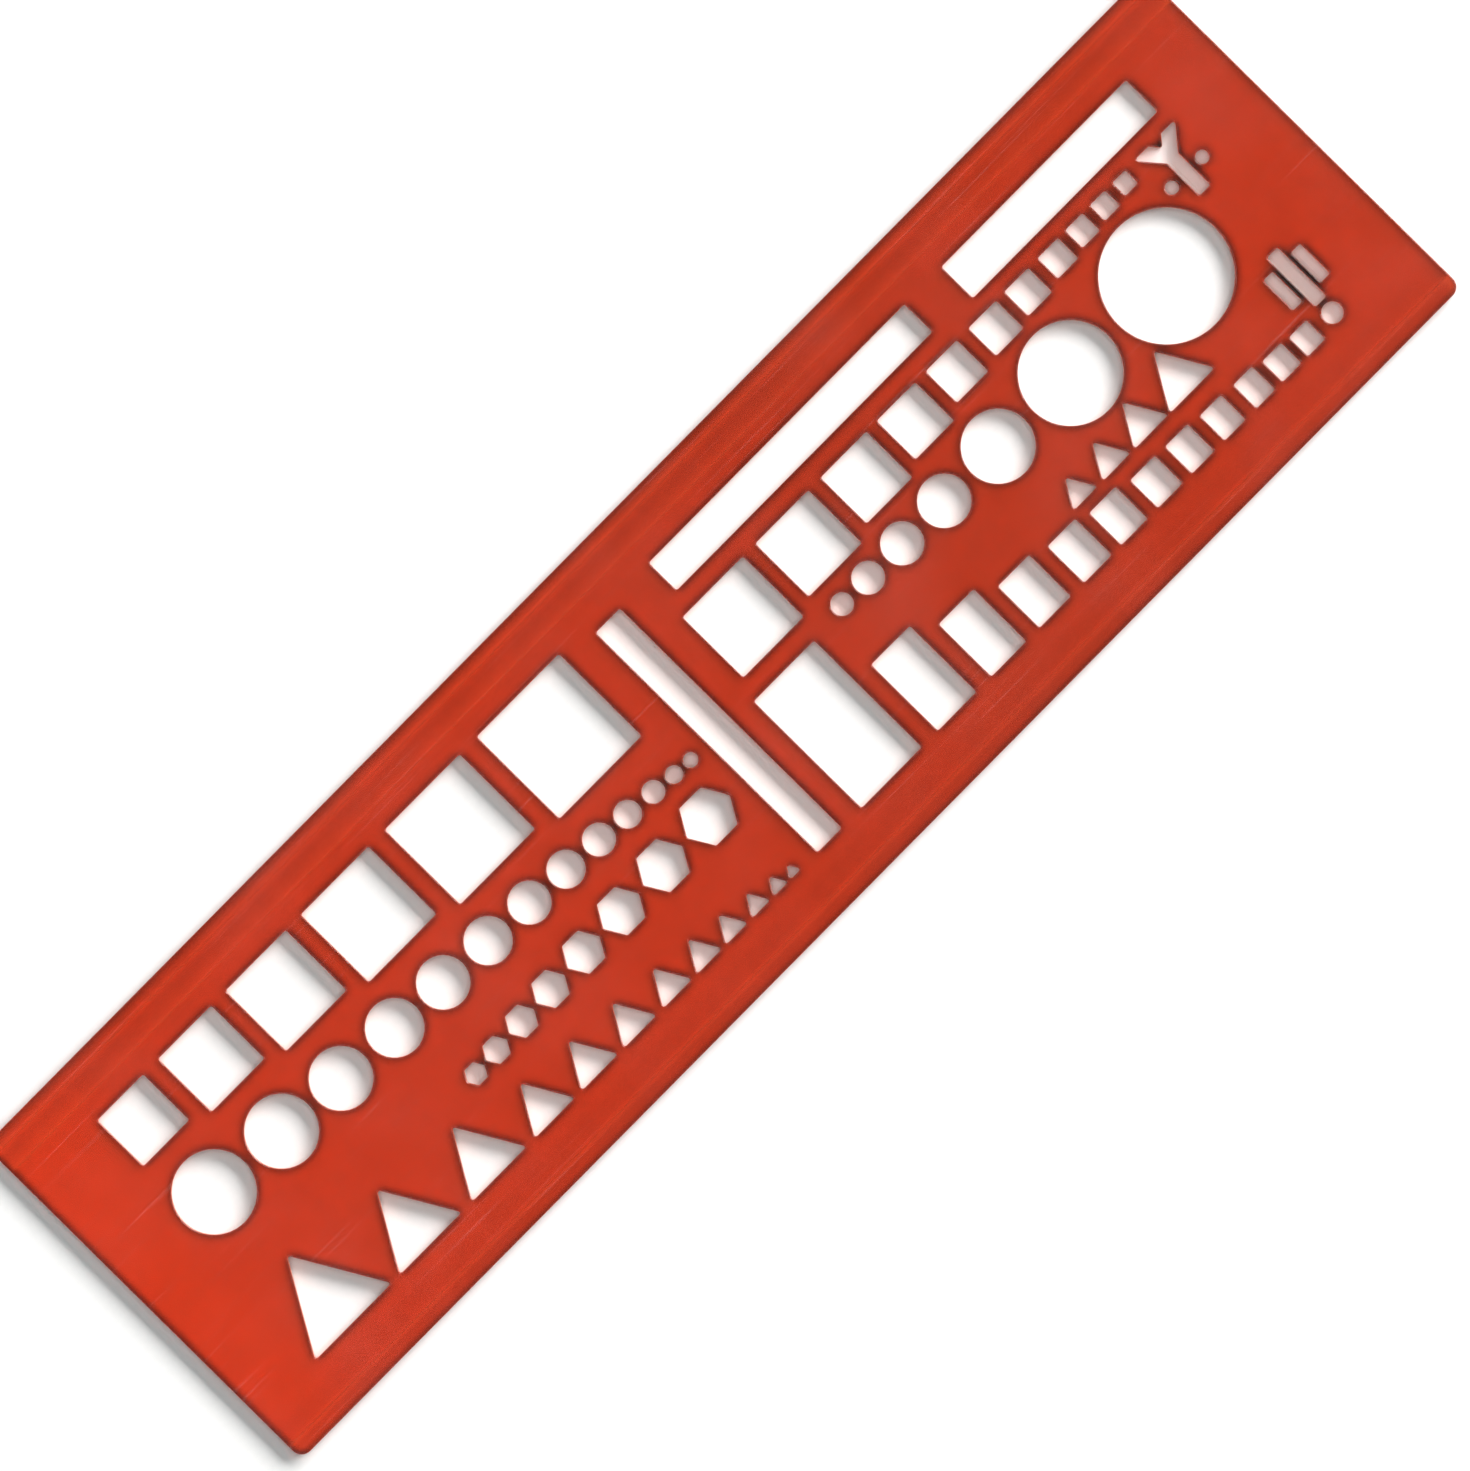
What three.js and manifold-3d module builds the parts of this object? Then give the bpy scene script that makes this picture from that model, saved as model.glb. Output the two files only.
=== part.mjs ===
// Map symbol template: one thin sheet of see-through orange-red drafting plastic. It is pierced with graded
// rows of squares, circles, hexagons, triangles and rectangles, three slots, and a few signs that a pen follows.
// Millimetres. X runs along the sheet, Y across it and Z up from the paper. The origin is under the middle.
import * as THREE from "three";
import { mergeVertices } from "three/addons/utils/BufferGeometryUtils.js";
import Module from "manifold-3d";

// The sheet. Its length and width are what the rows, their webs and these margins add up to: 160 by 43.3.
const sheetThickness = 1.5;
const sheetCornerRadius = 1.2;
const lowerMargin = 5.85;
const upperMargin = 6.05;
const rightMargin = 8;

// Inking steps under the two long edges. They hold the edge off the paper, so that ink can't creep under it.
// The lower edge has one step, and the upper edge has a shelf with a second step outside it.
const lowerStepWidth = 1.8;
const lowerStepHeight = 0.4;
const upperShelfWidth = 3.75;
const upperShelfHeight = 0.3;
const upperStepWidth = 1.4;
const upperStepHeight = 0.6;

// Every opening is cut larger than the size it draws by the room of a pen's tip, and its corners are rounded.
const penRoom = 0.3;
const openingCornerRadius = 0.2;
const cutOverrun = 1;

// Left rows: where each starts from the left end, the sizes that it draws, and the webs between its openings.
const leftSquares = {
  start: 9.45,
  sides: [6, 7, 8, 9, 10, 11],
  webs: [2.1, 2, 2.1, 2.3, 2.4],
};
const leftCircles = {
  start: 8.35,
  diameters: [8, 7, 6, 5.5, 5, 4.5, 4, 3.5, 3, 2.5, 2, 1.5, 1.2],
  webs: [1, 0.9, 1.1, 0.9, 0.9, 0.9, 0.75, 0.75, 0.65, 0.75, 0.55, 0.5],
};
const hexagons = {
  start: 37.35,
  acrossCorners: [2, 2.5, 3, 3.5, 4, 4.5, 5, 5.5],
  webs: [0.45, 0.6, 0.6, 0.7, 0.8, 0.9, 0.9],
};
const triangles = {
  start: 7.8,
  sides: [10, 8, 7, 5, 4.5, 4, 3.5, 3, 2.5, 2, 1.5, 1],
  webs: [1.15, 1.45, 1.15, 0.95, 0.8, 0.9, 0.65, 0.5, 0.6, 0.45, 0.25],
};

// How far the left rows stand above each other, up from the line that the lowest openings stand on.
const hexagonRise = 7.45;
const hexagonToCircleWeb = 1.8;
const circleToSquareWeb = 2.5;

// The upright slot and the tall rectangle between the left and the right rows.
const uprightSlotWidth = 3;
const uprightSlotHeight = 30;
const uprightSlotWeb = 1.55;
const tallRectangleWidth = 8;
const tallRectangleHeight = 14.4;
const tallRectangleWeb = 2.75;

// The two long slots near the upper edge: the first starts past the upright slot.
const longSlots = {
  webFromUprightSlot: 5.15,
  lengths: [35, 25.2],
  heights: [3.5, 4],
  webs: [5.1],
};

// Right rows: the squares start past the upright slot, and the circles and rectangles past the tall rectangle.
// The largest of the small triangles stands just past the web between the two largest circles.
const rightSquares = {
  webFromUprightSlot: 3.7,
  sides: [8, 7, 6, 5, 4, 3.5, 3, 2.5, 2.1, 1.8, 1.5],
  webs: [1.75, 1.7, 1.45, 1.45, 1.6, 1.15, 1.3, 1, 1, 1],
};
const rightCircles = {
  webFromTallRectangle: 3.3,
  diameters: [2, 3, 4, 5, 7, 10, 13],
  webs: [0.8, 0.9, 1, 1.15, 1.2, 1.45],
};
const smallTriangles = {
  largestPastWeb: 1.25,
  sides: [2.8, 3.4, 4.2, 5.7],
  webs: [0.7, 0.45, 0.2],
};
const rectangles = {
  webFromTallRectangle: 2.25,
  widths: [5, 4.5, 4, 3.5, 3.3, 3.1, 2.8, 2.6, 2.3, 2.3, 2.1],
  heights: [8.8, 6.9, 5.4, 4.7, 4.1, 3.5, 3.4, 3.1, 2.9, 2.5, 2.3],
  webs: [2.1, 1.85, 1.85, 1.35, 1.45, 1.3, 1.4, 1.5, 1, 0.9],
};
const slotToSquareWeb = 2.25;
const rightCircleRise = 15.25;
const smallTriangleRise = 5.65;

// The signs at the right end: a dot below, three bars above it, and a forked sign between two dots at the top.
const signColumnWeb = 2.15;
const lowDotDiameter = 1.9;
const barRise = 6.2;
const barPitch = 1.9;
const barWidths = [1, 1.2, 1];
const barHeights = [3.8, 6.4, 3.8];
const forkOffset = -0.25;
const forkStroke = 1.2;
const forkHeight = 6.6;
const forkStemHeight = 4.1;
const forkArmAngle = THREE.MathUtils.degToRad(40);
const forkDotDiameter = 1.1;
const forkDotReach = 2.1;
const forkDotRise = 2.45;

const shortestChord = 0.55;
const fewestCircleSides = 28;
const cornerSegments = 1;
const hexagonCorners = 6;
const rootThree = Math.sqrt(3);

const sheetMaterial = new THREE.MeshStandardMaterial({
  name: "moulded_orange_red_plastic",
  color: 0xbe3c27,
  roughness: 0.3,
  metalness: 0,
});

const wasm = await Module();
wasm.setup();

// The size that an opening is cut to, across two parallel sides or across a circle.
const cut = (size) => size + penRoom;

// A triangle's side and a hexagon's corner-to-corner size grow by more for the same room at each side.
const cutTriangleSide = (side) => side + penRoom * rootThree;
const triangleHeight = (side) => (side * rootThree) / 2;
const cutAcrossCorners = (size) => size + (penRoom * 2) / rootThree;
const acrossFlats = (acrossCorners) => (acrossCorners * rootThree) / 2;

// The middle of each opening in a row, and where the row ends.
function layRow(start, lengths, webs) {
  let edge = start;
  const middles = lengths.map((length, i) => {
    const middle = edge + length / 2;
    edge += length + (i < webs.length ? webs[i] : 0);
    return middle;
  });
  return { middles, end: edge };
}

// A closed outline through corner points taken anticlockwise, with each corner rounded by an arc.
function roundedOutline(corners, radius) {
  const outline = new THREE.Shape();
  corners.forEach((corner, i) => {
    const back = corners.at(i - 1).clone().sub(corner);
    const ahead = corners[(i + 1) % corners.length].clone().sub(corner);
    const halfAngle = back.angleTo(ahead) / 2;
    const reach = Math.min(radius / Math.tan(halfAngle), back.length() / 3, ahead.length() / 3);
    const arcRadius = reach * Math.tan(halfAngle);
    const from = corner.clone().add(back.setLength(reach));
    const to = corner.clone().add(ahead.setLength(reach));
    const toCentre = back.clone().add(ahead).setLength(arcRadius / Math.sin(halfAngle));
    const centre = corner.clone().add(toCentre);
    const startAngle = from.sub(centre).angle();
    const endAngle = to.sub(centre).angle();
    const inward = back.cross(ahead) > 0;
    outline.absarc(centre.x, centre.y, arcRadius, startAngle, endAngle, inward);
  });
  return outline;
}

function rectangle(middle, foot, width, height) {
  const left = middle - width / 2;
  const right = middle + width / 2;
  const corners = [
    new THREE.Vector2(left, foot),
    new THREE.Vector2(right, foot),
    new THREE.Vector2(right, foot + height),
    new THREE.Vector2(left, foot + height),
  ];
  return roundedOutline(corners, openingCornerRadius);
}

// An equilateral triangle that stands on its base.
function triangle(middle, foot, side) {
  const corners = [
    new THREE.Vector2(middle - side / 2, foot),
    new THREE.Vector2(middle + side / 2, foot),
    new THREE.Vector2(middle, foot + triangleHeight(side)),
  ];
  return roundedOutline(corners, openingCornerRadius);
}

// A regular hexagon that stands on a flat, with a corner at each end.
function hexagon(middle, foot, acrossCorners) {
  const centre = new THREE.Vector2(middle, foot + acrossFlats(acrossCorners) / 2);
  const corners = Array.from({ length: hexagonCorners }, (_, i) => {
    const spoke = new THREE.Vector2(acrossCorners / 2, 0);
    return spoke.rotateAround(new THREE.Vector2(), (2 * Math.PI * i) / hexagonCorners).add(centre);
  });
  return roundedOutline(corners, openingCornerRadius);
}

function circle(middle, height, diameter) {
  return new THREE.Shape().absarc(middle, height, diameter / 2, 0, 2 * Math.PI, false);
}

// A forked sign: an upright stem that splits into two arms, with the arms' ends cut level.
function fork(middle, foot, height, stemHeight, stroke) {
  const halfStem = stroke / 2;
  const levelArmWidth = stroke / Math.cos(forkArmAngle);
  const armReach = halfStem + (height - stemHeight) * Math.tan(forkArmAngle);
  const crotch = stemHeight + (levelArmWidth - halfStem) / Math.tan(forkArmAngle);
  const corners = [
    [-halfStem, 0],
    [halfStem, 0],
    [halfStem, stemHeight],
    [armReach, height],
    [armReach - levelArmWidth, height],
    [0, crotch],
    [levelArmWidth - armReach, height],
    [-armReach, height],
    [-halfStem, stemHeight],
  ];
  const points = corners.map(([x, y]) => new THREE.Vector2(middle + x, foot + y));
  return roundedOutline(points, openingCornerRadius);
}

// A closed solid from a three.js geometry, for cutting.
function solidOf(geometry) {
  const bare = geometry.clone();
  bare.deleteAttribute("normal");
  bare.deleteAttribute("uv");
  const merged = mergeVertices(bare, 1e-4);
  return new wasm.Manifold(
    new wasm.Mesh({
      numProp: 3,
      vertProperties: merged.attributes.position.array,
      triVerts: new Uint32Array(merged.index.array),
    }),
  );
}

// An outline carried right through the sheet, past both faces.
function through(outline, curveSegments) {
  const depth = sheetThickness + 2 * cutOverrun;
  const geometry = new THREE.ExtrudeGeometry(outline, { depth, bevelEnabled: false, curveSegments });
  return solidOf(geometry.translate(0, 0, -cutOverrun));
}

// A round opening has a multiple of four sides, so that it is as wide as it is high.
const throughRound = (middle, height, diameter) => {
  const sides = Math.max(fewestCircleSides, (Math.PI * diameter) / shortestChord);
  return through(circle(middle, height, diameter), 2 * Math.ceil(sides / 4));
};

// A bar the whole length of the sheet, taken away from its underside along one long edge.
function edgeStep(sheetLength, fromY, toY, height) {
  const bar = new THREE.BoxGeometry(sheetLength + 2 * cutOverrun, toY - fromY, height + cutOverrun);
  return solidOf(bar.translate(sheetLength / 2, (fromY + toY) / 2, (height - cutOverrun) / 2));
}

// Lines that the rows stand on or hang from, in heights above the lower edge.
const footLine = lowerMargin;
const hexagonLine = footLine + hexagonRise;
const tallestHexagon = acrossFlats(cutAcrossCorners(Math.max(...hexagons.acrossCorners)));
const leftCircleLine = hexagonLine + tallestHexagon + hexagonToCircleWeb;
const leftCircleTop = leftCircleLine + cut(leftCircles.diameters[0]);
const headLine = leftCircleTop + circleToSquareWeb + cut(leftSquares.sides[0]);
const rightSquareHead = headLine - cut(longSlots.heights[0]) - slotToSquareWeb;
const rightCircleCentre = footLine + rightCircleRise;
const smallTriangleLine = footLine + smallTriangleRise;
const sheetWidth = headLine + upperMargin;

const openings = [];

// Left rows. The squares hang from the head line, and the other rows stand on their own lines.
const leftSquareSides = leftSquares.sides.map(cut);
const leftSquareRow = layRow(leftSquares.start, leftSquareSides, leftSquares.webs);
leftSquareRow.middles.forEach((middle, i) => {
  const side = leftSquareSides[i];
  openings.push(through(rectangle(middle, headLine - side, side, side), cornerSegments));
});

const leftDiameters = leftCircles.diameters.map(cut);
const leftCircleRow = layRow(leftCircles.start, leftDiameters, leftCircles.webs);
leftCircleRow.middles.forEach((middle, i) => {
  openings.push(throughRound(middle, leftCircleLine + leftDiameters[i] / 2, leftDiameters[i]));
});

const hexagonSizes = hexagons.acrossCorners.map(cutAcrossCorners);
const hexagonRow = layRow(hexagons.start, hexagonSizes, hexagons.webs);
hexagonRow.middles.forEach((middle, i) => {
  openings.push(through(hexagon(middle, hexagonLine, hexagonSizes[i]), cornerSegments));
});

const triangleSides = triangles.sides.map(cutTriangleSide);
const triangleRow = layRow(triangles.start, triangleSides, triangles.webs);
triangleRow.middles.forEach((middle, i) => {
  openings.push(through(triangle(middle, footLine, triangleSides[i]), cornerSegments));
});

// The upright slot stands clear of the longest left row, and the tall rectangle stands beside it.
const leftEnd = Math.max(leftSquareRow.end, leftCircleRow.end, hexagonRow.end, triangleRow.end);
const slotMiddle = leftEnd + uprightSlotWeb + cut(uprightSlotWidth) / 2;
const slotEnd = slotMiddle + cut(uprightSlotWidth) / 2;
const uprightSlot = rectangle(slotMiddle, footLine, cut(uprightSlotWidth), cut(uprightSlotHeight));
openings.push(through(uprightSlot, cornerSegments));

const tallMiddle = slotEnd + tallRectangleWeb + cut(tallRectangleWidth) / 2;
const tallEnd = tallMiddle + cut(tallRectangleWidth) / 2;
const tallRectangle = rectangle(tallMiddle, footLine, cut(tallRectangleWidth), cut(tallRectangleHeight));
openings.push(through(tallRectangle, cornerSegments));

// The long slots hang from the head line.
const slotRow = layRow(slotEnd + longSlots.webFromUprightSlot, longSlots.lengths.map(cut), longSlots.webs);
slotRow.middles.forEach((middle, i) => {
  const height = cut(longSlots.heights[i]);
  openings.push(through(rectangle(middle, headLine - height, cut(longSlots.lengths[i]), height), cornerSegments));
});

// Right rows. The squares hang under the long slots, the circles share one centre line, and the rest stand.
const rightSquareSides = rightSquares.sides.map(cut);
const rightSquareRow = layRow(slotEnd + rightSquares.webFromUprightSlot, rightSquareSides, rightSquares.webs);
rightSquareRow.middles.forEach((middle, i) => {
  const side = rightSquareSides[i];
  openings.push(through(rectangle(middle, rightSquareHead - side, side, side), cornerSegments));
});

const rightDiameters = rightCircles.diameters.map(cut);
const rightCircleRow = layRow(tallEnd + rightCircles.webFromTallRectangle, rightDiameters, rightCircles.webs);
rightCircleRow.middles.forEach((middle, i) => {
  openings.push(throughRound(middle, rightCircleCentre, rightDiameters[i]));
});

const largestCircleStart = rightCircleRow.middles.at(-1) - rightDiameters.at(-1) / 2;
const largestWebMiddle = largestCircleStart - rightCircles.webs.at(-1) / 2;
const smallSides = smallTriangles.sides.map(cutTriangleSide);
const smallTriangleReach = layRow(0, smallSides, smallTriangles.webs).middles.at(-1);
const smallTriangleStart = largestWebMiddle + smallTriangles.largestPastWeb - smallTriangleReach;
const smallTriangleRow = layRow(smallTriangleStart, smallSides, smallTriangles.webs);
smallTriangleRow.middles.forEach((middle, i) => {
  openings.push(through(triangle(middle, smallTriangleLine, smallSides[i]), cornerSegments));
});

const rectangleWidths = rectangles.widths.map(cut);
const rectangleRow = layRow(tallEnd + rectangles.webFromTallRectangle, rectangleWidths, rectangles.webs);
rectangleRow.middles.forEach((middle, i) => {
  const outline = rectangle(middle, footLine, rectangleWidths[i], cut(rectangles.heights[i]));
  openings.push(through(outline, cornerSegments));
});

// The sign column stands clear of the longest right row.
const rightEnd = Math.max(rightSquareRow.end, rightCircleRow.end, smallTriangleRow.end, rectangleRow.end);
const signMiddle = rightEnd + signColumnWeb;
const lowDotHeight = footLine + cut(rectangles.heights.at(-1)) / 2;
openings.push(throughRound(signMiddle, lowDotHeight, cut(lowDotDiameter)));

barHeights.forEach((height, i) => {
  const barMiddle = signMiddle + (i - (barHeights.length - 1) / 2) * barPitch;
  const foot = footLine + barRise - cut(height) / 2;
  openings.push(through(rectangle(barMiddle, foot, cut(barWidths[i]), cut(height)), cornerSegments));
});

const forkMiddle = signMiddle + forkOffset;
const forkFoot = rightSquareHead - cut(forkHeight);
const forkOutline = fork(forkMiddle, forkFoot, cut(forkHeight), cut(forkStemHeight), cut(forkStroke));
openings.push(through(forkOutline, cornerSegments));
[-1, 1].forEach((side) => {
  openings.push(throughRound(forkMiddle + side * forkDotReach, forkFoot + forkDotRise, cut(forkDotDiameter)));
});

// The sheet: a rounded rectangle, less its edge steps and every opening.
const outerBarEdge = signMiddle + ((barHeights.length - 1) / 2) * barPitch + cut(barWidths.at(-1)) / 2;
const sheetLength = Math.max(outerBarEdge, slotRow.end) + rightMargin;
const sheetCorners = [
  new THREE.Vector2(0, 0),
  new THREE.Vector2(sheetLength, 0),
  new THREE.Vector2(sheetLength, sheetWidth),
  new THREE.Vector2(0, sheetWidth),
];
const blank = new THREE.ExtrudeGeometry(roundedOutline(sheetCorners, sheetCornerRadius), {
  depth: sheetThickness,
  bevelEnabled: false,
  curveSegments: 4,
});
const pastEdge = sheetWidth + cutOverrun;
const steps = [
  edgeStep(sheetLength, -cutOverrun, lowerStepWidth, lowerStepHeight),
  edgeStep(sheetLength, sheetWidth - upperShelfWidth, pastEdge, upperShelfHeight),
  edgeStep(sheetLength, sheetWidth - upperStepWidth, pastEdge, upperStepHeight),
];
const sheet = [...steps, ...openings].reduce((solid, tool) => solid.subtract(tool), solidOf(blank));

const { vertProperties, triVerts } = sheet.getMesh();
const sheetGeometry = new THREE.BufferGeometry();
sheetGeometry.setAttribute("position", new THREE.BufferAttribute(vertProperties, 3));
sheetGeometry.setIndex(new THREE.BufferAttribute(triVerts, 1));
sheetGeometry.computeVertexNormals();

const templateSheet = new THREE.Mesh(sheetGeometry, sheetMaterial);
templateSheet.name = "template_sheet";
templateSheet.position.set(-sheetLength / 2, -sheetWidth / 2, 0);

const mapSymbolTemplate = new THREE.Group();
mapSymbolTemplate.add(templateSheet);

export default mapSymbolTemplate;
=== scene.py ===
import math

import bmesh
import bpy
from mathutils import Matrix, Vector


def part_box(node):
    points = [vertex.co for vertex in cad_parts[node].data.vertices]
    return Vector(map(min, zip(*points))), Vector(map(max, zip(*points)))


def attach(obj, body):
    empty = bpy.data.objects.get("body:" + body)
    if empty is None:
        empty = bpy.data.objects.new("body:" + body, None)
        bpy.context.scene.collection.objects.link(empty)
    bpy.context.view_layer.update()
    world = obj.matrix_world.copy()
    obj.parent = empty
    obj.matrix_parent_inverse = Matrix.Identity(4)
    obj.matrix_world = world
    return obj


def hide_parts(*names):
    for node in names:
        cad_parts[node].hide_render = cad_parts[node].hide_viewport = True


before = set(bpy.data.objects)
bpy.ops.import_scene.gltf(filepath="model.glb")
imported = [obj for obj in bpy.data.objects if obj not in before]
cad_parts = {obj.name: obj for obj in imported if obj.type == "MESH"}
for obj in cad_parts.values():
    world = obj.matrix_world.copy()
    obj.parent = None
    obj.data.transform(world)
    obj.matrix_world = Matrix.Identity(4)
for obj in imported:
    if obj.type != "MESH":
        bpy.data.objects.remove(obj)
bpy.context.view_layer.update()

# The template sheet: one moulded sheet of see-through orange-red plastic, pierced with the graded openings.
# Its rims are slightly rounded, as a moulding's are, and its two long edges are stepped underneath.
RIM_RADIUS = 0.00012  # metres, as all sizes here but those marked mm
RIM_SEGMENTS = 3
RIM_BAND = 0.00016  # the width of the strip of faces round each rim that the rounding is made in
ON_PLANE = 0.000005
MERGE_WITHIN = 0.000002
FLAT_WITHIN = math.radians(0.5)
RIM_TURN = math.radians(60)  # a rim turns through 90 degrees, and a round wall's facets through far less
SMOOTH_UNDER = math.radians(50)
LEVEL_FACE = 0.9  # a face is level where its normal is this near to upright

underside, upper_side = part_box("template_sheet")
levels = (upper_side.z, underside.z)

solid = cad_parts["template_sheet"]
sheet = bpy.data.objects.new("sheet", solid.data.copy())
bpy.context.scene.collection.objects.link(sheet)
bpy.ops.object.select_all(action="DESELECT")
bpy.context.view_layer.objects.active = sheet
sheet.select_set(True)


def select_flat(level):
    """Selects the faces of the sheet's upper or lower side."""
    bpy.ops.mesh.select_mode(type="FACE")
    bpy.ops.mesh.select_all(action="DESELECT")
    shape = bmesh.from_edit_mesh(sheet.data)
    for face in shape.faces:
        face.select = all(abs(corner.co.z - level) < ON_PLANE for corner in face.verts)
    bmesh.update_edit_mesh(sheet.data)


bpy.ops.object.mode_set(mode="EDIT")
bpy.ops.mesh.select_all(action="SELECT")
bpy.ops.mesh.remove_doubles(threshold=MERGE_WITHIN)
bpy.ops.mesh.dissolve_limited(angle_limit=FLAT_WITHIN)
for level in levels:
    select_flat(level)
    bpy.ops.mesh.inset(thickness=RIM_BAND, use_even_offset=True)
    bpy.ops.mesh.delete(type="FACE")
    bpy.ops.mesh.select_mode(type="EDGE")
    bpy.ops.mesh.select_non_manifold(
        extend=False, use_multi_face=False, use_non_contiguous=False, use_verts=False
    )
    bpy.ops.mesh.fill()
bpy.ops.mesh.select_all(action="SELECT")
bpy.ops.mesh.normals_make_consistent(inside=False)
bpy.ops.mesh.select_mode(type="EDGE")
bpy.ops.mesh.select_all(action="DESELECT")
shape = bmesh.from_edit_mesh(sheet.data)
for edge in shape.edges:
    turn = edge.calc_face_angle_signed(0)
    flat = [abs(face.normal.z) > LEVEL_FACE for face in edge.link_faces]
    if turn > RIM_TURN and any(flat) and not all(flat):
        edge.select = True
bmesh.update_edit_mesh(sheet.data)
bpy.ops.mesh.bevel(offset=RIM_RADIUS, segments=RIM_SEGMENTS, profile=0.5, clamp_overlap=False)
for level in levels:
    select_flat(level)
    bpy.ops.mesh.mod_weighted_strength(set=True, face_strength="STRONG")
bpy.ops.object.mode_set(mode="OBJECT")
bpy.ops.object.shade_smooth_by_angle(angle=SMOOTH_UNDER)
flatten = sheet.modifiers.new("flat_faces", "WEIGHTED_NORMAL")
flatten.keep_sharp = True
flatten.use_face_influence = True
bpy.ops.object.modifier_apply(modifier=flatten.name)


# Acrylic, dyed orange-red all through and moulded with polished faces, so that the white card glows through.
# The eye gets a deep orange-red with a soft gloss, painted lighter towards the left end, a painted shade
# line along every rim, painted light lines where the long edges step down underneath, and paler satin walls
# in the openings.
DYE_WITH_PAINTED_LIGHT = (  # mm along from the middle, colour: the dye's own orange-red, with painted light that makes it brightest at the left end
    (-75, "F85629"), (-68, "F05329"), (-50, "ED5229"), (-10, "E85129"), (25, "DF4F28"), (80, "E55028"),
)
LOWER_EDGE_PAINTED_LIGHT = (  # mm in from the edge, painted brightness, whole thickness or not: painted light where its step ends at 1.8, painted shade along the edge
    (0.0, 0.89, 0), (0.15, 0.84, 0), (0.45, 0.88, 0), (0.65, 0.92, 0), (1.05, 0.90, 0), (1.45, 0.93, 0),
    (1.7, 1.20, 0), (1.9, 1.15, 1), (2.2, 1.00, 1), (2.55, 0.97, 1), (3.45, 0.96, 1), (4.25, 1.00, 1),
)
UPPER_EDGE_PAINTED_LIGHT = (  # the same: painted light where its step ends at 1.4 and its shelf at 3.75, painted shade along the edge
    (0.0, 0.89, 0), (0.2, 0.82, 0), (0.45, 0.77, 0), (0.65, 0.83, 0), (0.8, 0.88, 0), (1.05, 0.99, 0),
    (1.25, 1.20, 0), (1.5, 1.07, 0), (1.85, 0.94, 0), (2.25, 0.91, 0), (3.05, 0.93, 0), (3.5, 0.99, 0),
    (3.7, 1.24, 0), (3.85, 1.08, 1), (4.15, 1.00, 1),
)
MM = 0.001
RIM_PAINTED_SHADE = "2C150A"
RIM_REACH = (0.0008, 0.001)  # how far the painted shade line reaches, on the thin edges and elsewhere
RIM_SHARE_OPEN = (0.4, 0.98)  # the share of open plastic round a point at the wall, and out of its reach
RIM_STRENGTH = 1.1
RIM_FALL = 1.2
LEAN = 0.14  # the painted shade line is a little darker on walls that look left, because the light crosses from the right
OPENING_WALL = "DF8A6C"
OUTER_WALL = "CE6242"
OUTER_WALL_BAND = 0.0008
WALL_SLOPE = (0.2, 0.8)  # how upright a normal is, on a wall at most and on a level face at least
CLEAR_FACE, CLEAR_WALL = 0.7, 0.15  # how much of the light goes through
ACRYLIC_IOR = 1.49
SATIN = 0.38
POLISHED, HANDLED = 0.08, 0.15
HAIRLINE_ROUGHNESS = 0.1
MOTTLE_PER_METRE = 420  # cloudiness of the dye, 2.4 mm
MOTTLE_SHADES = (0.965, 1.065)
RIPPLE_PER_METRE = 110  # the mould's slight waviness, 9 mm
RIPPLE_HEIGHT = 0.00006
HANDLED_PER_METRE = 70  # patches dulled by fingers, 14 mm
HAIRLINES_PER_METRE = (35, 3200, 35)  # real ones are finer than 0.05 mm: drawn 0.3 mm wide to show
HAIRLINE_DEPTH = 0.00001
HAIRLINE_SLANT = 0.06


def linear(code):
    """An sRGB colour such as C23B26 as linear red, green and blue."""
    shares = [int(code[i : i + 2], 16) / 255 for i in (0, 2, 4)]
    return [s / 12.92 if s <= 0.04045 else ((s + 0.055) / 1.055) ** 2.4 for s in shares]


def add_node(material, kind, settings=None, links=None):
    """Adds a shader node with its settings and links. An input is named, or numbered where names repeat."""
    made = material.node_tree.nodes.new(kind)
    for name, value in (settings or {}).items():
        if isinstance(name, str) and hasattr(made, name):
            setattr(made, name, value)
        else:
            made.inputs[name].default_value = value
    for name, source in (links or {}).items():
        material.node_tree.links.new(source, made.inputs[name])
    return made


def fill_ramp(node, lowest, highest, stops):
    """Gives a colour ramp its stops: places from lowest to highest, each with a colour and its alpha."""
    elements = node.color_ramp.elements
    elements.remove(elements[1])
    (first_place, first_colour), *others = stops
    elements[0].position, elements[0].color = (first_place - lowest) / (highest - lowest), first_colour
    for place, colour in others:
        elements.new((place - lowest) / (highest - lowest)).color = colour


acrylic = bpy.data.materials.new("orange_red_moulded_acrylic")
acrylic.use_nodes = True
acrylic.node_tree.nodes.clear()
place = add_node(acrylic, "ShaderNodeTexCoord").outputs["Object"]
xyz = add_node(acrylic, "ShaderNodeSeparateXYZ", links={"Vector": place})

# The dye along the sheet, painted lighter towards the left end, the bands of painted light and shade across
# it and the dye's slight cloudiness.
along = add_node(
    acrylic, "ShaderNodeMapRange", {"From Min": underside.x, "From Max": upper_side.x},
    {"Value": xyz.outputs["X"]},
)
dye_with_painted_light = add_node(acrylic, "ShaderNodeValToRGB", links={"Fac": along.outputs["Result"]})
fill_ramp(dye_with_painted_light, underside.x, upper_side.x, [(x * MM, [*linear(code), 1]) for x, code in DYE_WITH_PAINTED_LIGHT])
across = add_node(
    acrylic, "ShaderNodeMapRange", {"From Min": underside.y, "From Max": upper_side.y},
    {"Value": xyz.outputs["Y"]},
)
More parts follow.
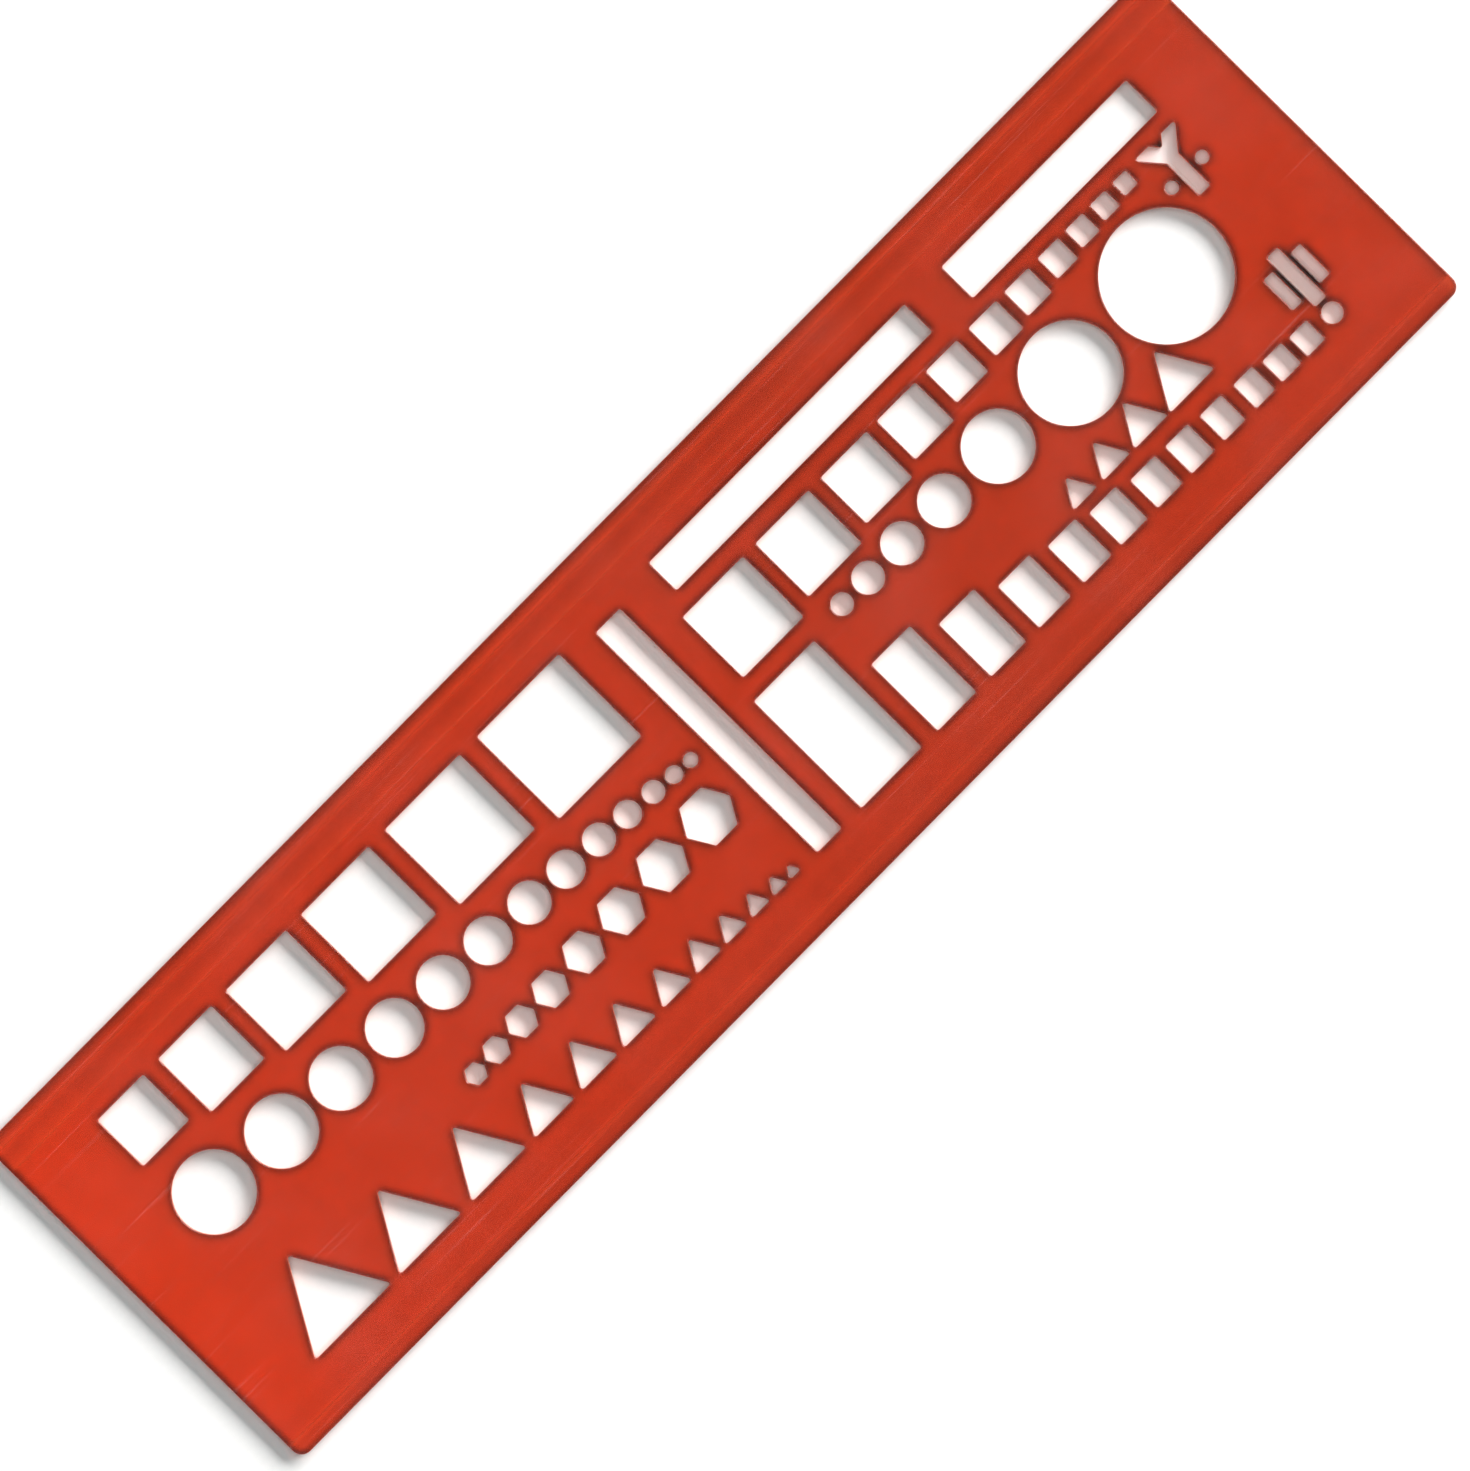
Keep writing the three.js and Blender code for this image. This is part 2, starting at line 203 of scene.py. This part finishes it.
# Painted light and shade across the sheet: light lines where the steps underneath end, darker along the long
# edges.
painted_step_light = add_node(acrylic, "ShaderNodeValToRGB", links={"Fac": across.outputs["Result"]})
painted_bands = [(underside.y + inset * MM, [shade] * 3 + [full]) for inset, shade, full in LOWER_EDGE_PAINTED_LIGHT]
painted_bands += [(upper_side.y - inset * MM, [shade] * 3 + [full]) for inset, shade, full in reversed(UPPER_EDGE_PAINTED_LIGHT)]
fill_ramp(painted_step_light, underside.y, upper_side.y, painted_bands)
clouds = add_node(
    acrylic, "ShaderNodeTexNoise", {"Scale": MOTTLE_PER_METRE, "Detail": 3.0, "Roughness": 0.6},
    {"Vector": place},
)
mottle = add_node(
    acrylic, "ShaderNodeMapRange",
    {"From Min": 0.3, "From Max": 0.7, "To Min": MOTTLE_SHADES[0], "To Max": MOTTLE_SHADES[1]},
    {"Value": clouds.outputs["Fac"]},
)
with_painted_bands = add_node(
    acrylic, "ShaderNodeMix", {"data_type": "RGBA", "blend_type": "MULTIPLY", 0: 1.0},
    {6: dye_with_painted_light.outputs["Color"], 7: painted_step_light.outputs["Color"]},
)
mottled = add_node(
    acrylic, "ShaderNodeMix", {"data_type": "RGBA", "blend_type": "MULTIPLY", 0: 1.0},
    {6: with_painted_bands.outputs[2], 7: mottle.outputs["Result"]},
)

# Painted shade at every rim: the nearer a wall is inside the plastic, the less light comes up there, so the
# darker the line painted into the colour.
reach = add_node(
    acrylic, "ShaderNodeMapRange", {"To Min": RIM_REACH[0], "To Max": RIM_REACH[1]},
    {"Value": painted_step_light.outputs["Alpha"]},
)
facing = add_node(acrylic, "ShaderNodeNewGeometry").outputs["Normal"]
leaning = add_node(acrylic, "ShaderNodeVectorMath", {"operation": "ADD", 1: (LEAN, 0, 0)}, {0: facing})
lookout = add_node(
    acrylic, "ShaderNodeVectorMath", {"operation": "NORMALIZE"}, {0: leaning.outputs["Vector"]}
)
near_wall = add_node(
    acrylic, "ShaderNodeAmbientOcclusion", {"inside": True, "only_local": True, "samples": 8},
    {"Distance": reach.outputs["Result"], "Normal": lookout.outputs["Vector"]},
)
closeness = add_node(
    acrylic, "ShaderNodeMapRange",
    {"From Min": RIM_SHARE_OPEN[0], "From Max": RIM_SHARE_OPEN[1], "To Min": RIM_STRENGTH, "To Max": 0.0},
    {"Value": near_wall.outputs["AO"]},
)
painted_rim_shade = add_node(
    acrylic, "ShaderNodeMath", {"operation": "POWER", 1: RIM_FALL}, {0: closeness.outputs["Result"]}
)
with_painted_rim_shade = add_node(
    acrylic, "ShaderNodeMix", {"data_type": "RGBA", 7: [*linear(RIM_PAINTED_SHADE), 1]},
    {0: painted_rim_shade.outputs["Value"], 6: mottled.outputs[2]},
)

# The walls: satin and paler in the openings, deeper round the outside, and clear only in part.
upright = add_node(acrylic, "ShaderNodeSeparateXYZ", links={"Vector": facing})
level_share = add_node(acrylic, "ShaderNodeMath", {"operation": "ABSOLUTE"}, {0: upright.outputs["Z"]})
on_wall = add_node(
    acrylic, "ShaderNodeMapRange",
    {"From Min": WALL_SLOPE[0], "From Max": WALL_SLOPE[1], "To Min": 1.0, "To Max": 0.0},
    {"Value": level_share.outputs["Value"]},
)
from_middle = add_node(acrylic, "ShaderNodeVectorMath", {"operation": "ABSOLUTE"}, {0: place})
sideways = add_node(acrylic, "ShaderNodeSeparateXYZ", links={"Vector": from_middle.outputs["Vector"]})
at_end = add_node(
    acrylic, "ShaderNodeMath", {"operation": "GREATER_THAN", 1: upper_side.x - OUTER_WALL_BAND},
    {0: sideways.outputs["X"]},
)
at_edge = add_node(
    acrylic, "ShaderNodeMath", {"operation": "GREATER_THAN", 1: upper_side.y - OUTER_WALL_BAND},
    {0: sideways.outputs["Y"]},
)
outside = add_node(
    acrylic, "ShaderNodeMath", {"operation": "MAXIMUM"},
    {0: at_end.outputs["Value"], 1: at_edge.outputs["Value"]},
)
wall = add_node(
    acrylic, "ShaderNodeMix",
    {"data_type": "RGBA", 6: [*linear(OPENING_WALL), 1], 7: [*linear(OUTER_WALL), 1]},
    {0: outside.outputs["Value"]},
)
walled = add_node(
    acrylic, "ShaderNodeMix", {"data_type": "RGBA"},
    {0: on_wall.outputs["Result"], 6: with_painted_rim_shade.outputs[2], 7: wall.outputs[2]},
)
clear = add_node(
    acrylic, "ShaderNodeMapRange", {"To Min": CLEAR_FACE, "To Max": CLEAR_WALL},
    {"Value": on_wall.outputs["Result"]},
)

# The gloss: polished, with patches dulled by handling, hairlines from sliding and the mould's ripple.
hairs = add_node(
    acrylic, "ShaderNodeMapping", {"Rotation": (0, 0, HAIRLINE_SLANT), "Scale": HAIRLINES_PER_METRE},
    {"Vector": place},
)
hairlines = add_node(
    acrylic, "ShaderNodeTexNoise", {"Scale": 1.0, "Detail": 2.0}, {"Vector": hairs.outputs["Vector"]}
)
scratched = add_node(
    acrylic, "ShaderNodeMapRange",
    {"From Min": 0.62, "From Max": 0.72, "To Min": 0.0, "To Max": HAIRLINE_ROUGHNESS},
    {"Value": hairlines.outputs["Fac"]},
)
handled = add_node(
    acrylic, "ShaderNodeTexNoise", {"Scale": HANDLED_PER_METRE, "Detail": 4.0}, {"Vector": place}
)
dulled = add_node(
    acrylic, "ShaderNodeMapRange",
    {"From Min": 0.35, "From Max": 0.7, "To Min": POLISHED, "To Max": HANDLED},
    {"Value": handled.outputs["Fac"]},
)
worn = add_node(
    acrylic, "ShaderNodeMath", {"operation": "ADD"},
    {0: dulled.outputs["Result"], 1: scratched.outputs["Result"]},
)
satin = add_node(
    acrylic, "ShaderNodeMix", {3: SATIN}, {0: on_wall.outputs["Result"], 2: worn.outputs["Value"]}
)
flow = add_node(acrylic, "ShaderNodeTexNoise", {"Scale": RIPPLE_PER_METRE, "Detail": 1.0}, {"Vector": place})
ripple = add_node(
    acrylic, "ShaderNodeBump", {"Strength": 0.35, "Distance": RIPPLE_HEIGHT}, {"Height": flow.outputs["Fac"]}
)
relief = add_node(
    acrylic, "ShaderNodeBump", {"Strength": 0.25, "Distance": HAIRLINE_DEPTH, "invert": True},
    {"Height": scratched.outputs["Result"], "Normal": ripple.outputs["Normal"]},
)
finish = add_node(
    acrylic, "ShaderNodeBsdfPrincipled", {"IOR": ACRYLIC_IOR},
    {
        "Base Color": walled.outputs[2], "Transmission Weight": clear.outputs["Result"],
        "Roughness": satin.outputs[0], "Normal": relief.outputs["Normal"],
    },
)
add_node(acrylic, "ShaderNodeOutputMaterial", links={"Surface": finish.outputs["BSDF"]})

sheet.data.materials.clear()
sheet.data.materials.append(acrylic)
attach(sheet, "root")
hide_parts("template_sheet")

# The table: plain white card under the sheet, which shows in every opening. It isn't part of the object.
# It is matt, with paper's faint grain, so it gives the eye only the soft shadows of the walls.
TABLE_SIZE = 16
TABLE_GAP = 0.00002
GRAIN_PER_METRE = 1600  # fibres bunch about every 0.6 mm
GRAIN_HEIGHT = 0.000003
CARD_SHADES = ("EBEBEB", "F1F1F1")
bpy.ops.mesh.primitive_plane_add(size=TABLE_SIZE, location=(0, 0, -TABLE_GAP))
table = bpy.context.object
table.name = "white_table"
card = bpy.data.materials.new("white_matt_card")
card.use_nodes = True
card.node_tree.nodes.clear()
paper = add_node(card, "ShaderNodeTexCoord").outputs["Object"]
grain = add_node(card, "ShaderNodeTexNoise", {"Scale": GRAIN_PER_METRE, "Detail": 3.0}, {"Vector": paper})
pulp = add_node(
    card, "ShaderNodeMix",
    {"data_type": "RGBA", 6: [*linear(CARD_SHADES[0]), 1], 7: [*linear(CARD_SHADES[1]), 1]},
    {0: grain.outputs["Fac"]},
)
tooth = add_node(
    card, "ShaderNodeBump", {"Strength": 0.3, "Distance": GRAIN_HEIGHT}, {"Height": grain.outputs["Fac"]}
)
matt = add_node(
    card, "ShaderNodeBsdfPrincipled", {"Roughness": 0.9, "Specular IOR Level": 0.1},
    {"Base Color": pulp.outputs[2], "Normal": tooth.outputs["Normal"]},
)
add_node(card, "ShaderNodeOutputMaterial", links={"Surface": matt.outputs["BSDF"]})
table.data.materials.append(card)

# The studio: one large softbox off the right end, faintly warm, which throws the soft shadows to the left.
# A ring of cooler light round the camera fills the small openings. Right overhead it is dark, so that no
# glare hides the dye.
KEY_FROM_UPRIGHT = math.radians(56)
KEY_DISTANCE = 2.4
KEY_SIZE = (1.3, 2.2)
KEY_WATTS = 116
KEY_TINT = (1.0, 0.95, 0.93)
ROOM_TINT = (0.89, 0.985, 0.985)
ROOM = (  # cosine of the angle from straight up, brightness: horizon, walls, ring, dark behind the camera
    (0.0, 0.2), (0.3, 0.1), (0.93, 0.08), (0.955, 3.9), (0.988, 3.9), (0.9935, 0.14), (1.0, 0.14),
)
softbox = bpy.data.lights.new("softbox", "AREA")
softbox.shape = "RECTANGLE"
softbox.size, softbox.size_y = KEY_SIZE
softbox.energy = KEY_WATTS
softbox.color = KEY_TINT
key = bpy.data.objects.new("softbox", softbox)
bpy.context.scene.collection.objects.link(key)
key.location = (KEY_DISTANCE * math.sin(KEY_FROM_UPRIGHT), 0, KEY_DISTANCE * math.cos(KEY_FROM_UPRIGHT))
key.rotation_euler = (0, KEY_FROM_UPRIGHT, 0)
key.visible_camera = False

room = bpy.data.worlds.new("dim_room_with_ring_of_light")
bpy.context.scene.world = room
room.use_nodes = True
room.node_tree.nodes.clear()
direction = add_node(room, "ShaderNodeTexCoord").outputs["Generated"]
height = add_node(room, "ShaderNodeSeparateXYZ", links={"Vector": direction})
walls = add_node(room, "ShaderNodeValToRGB", links={"Fac": height.outputs["Z"]})
fill_ramp(walls, 0, 1, [(cosine, [grey * share for share in ROOM_TINT] + [1]) for cosine, grey in ROOM])
glow = add_node(room, "ShaderNodeBackground", {"Strength": 1.0}, {"Color": walls.outputs["Color"]})
add_node(room, "ShaderNodeOutputWorld", links={"Surface": glow.outputs["Background"]})

bpy.context.scene.view_settings.view_transform = "Standard"
bpy.context.scene.view_settings.exposure = 0

# The camera: straight above, a long way off, turned so that the sheet lies from low left to high right.
CAMERA_LENS = 400
SENSOR = 36
FRAME_HEIGHT = 0.14278
CAMERA_OVER = (-0.000499, -0.002132)
SHEET_TURN = math.radians(-45.32)
FARTHEST_SEEN = 100
camera_data = bpy.data.cameras.new("camera")
camera_data.lens = CAMERA_LENS
camera_data.sensor_width = SENSOR
camera_data.clip_end = FARTHEST_SEEN
camera = bpy.data.objects.new("camera", camera_data)
bpy.context.scene.collection.objects.link(camera)
camera.location = (*CAMERA_OVER, upper_side.z + FRAME_HEIGHT * CAMERA_LENS / SENSOR)
camera.rotation_euler = (0, 0, SHEET_TURN)
bpy.context.scene.camera = camera
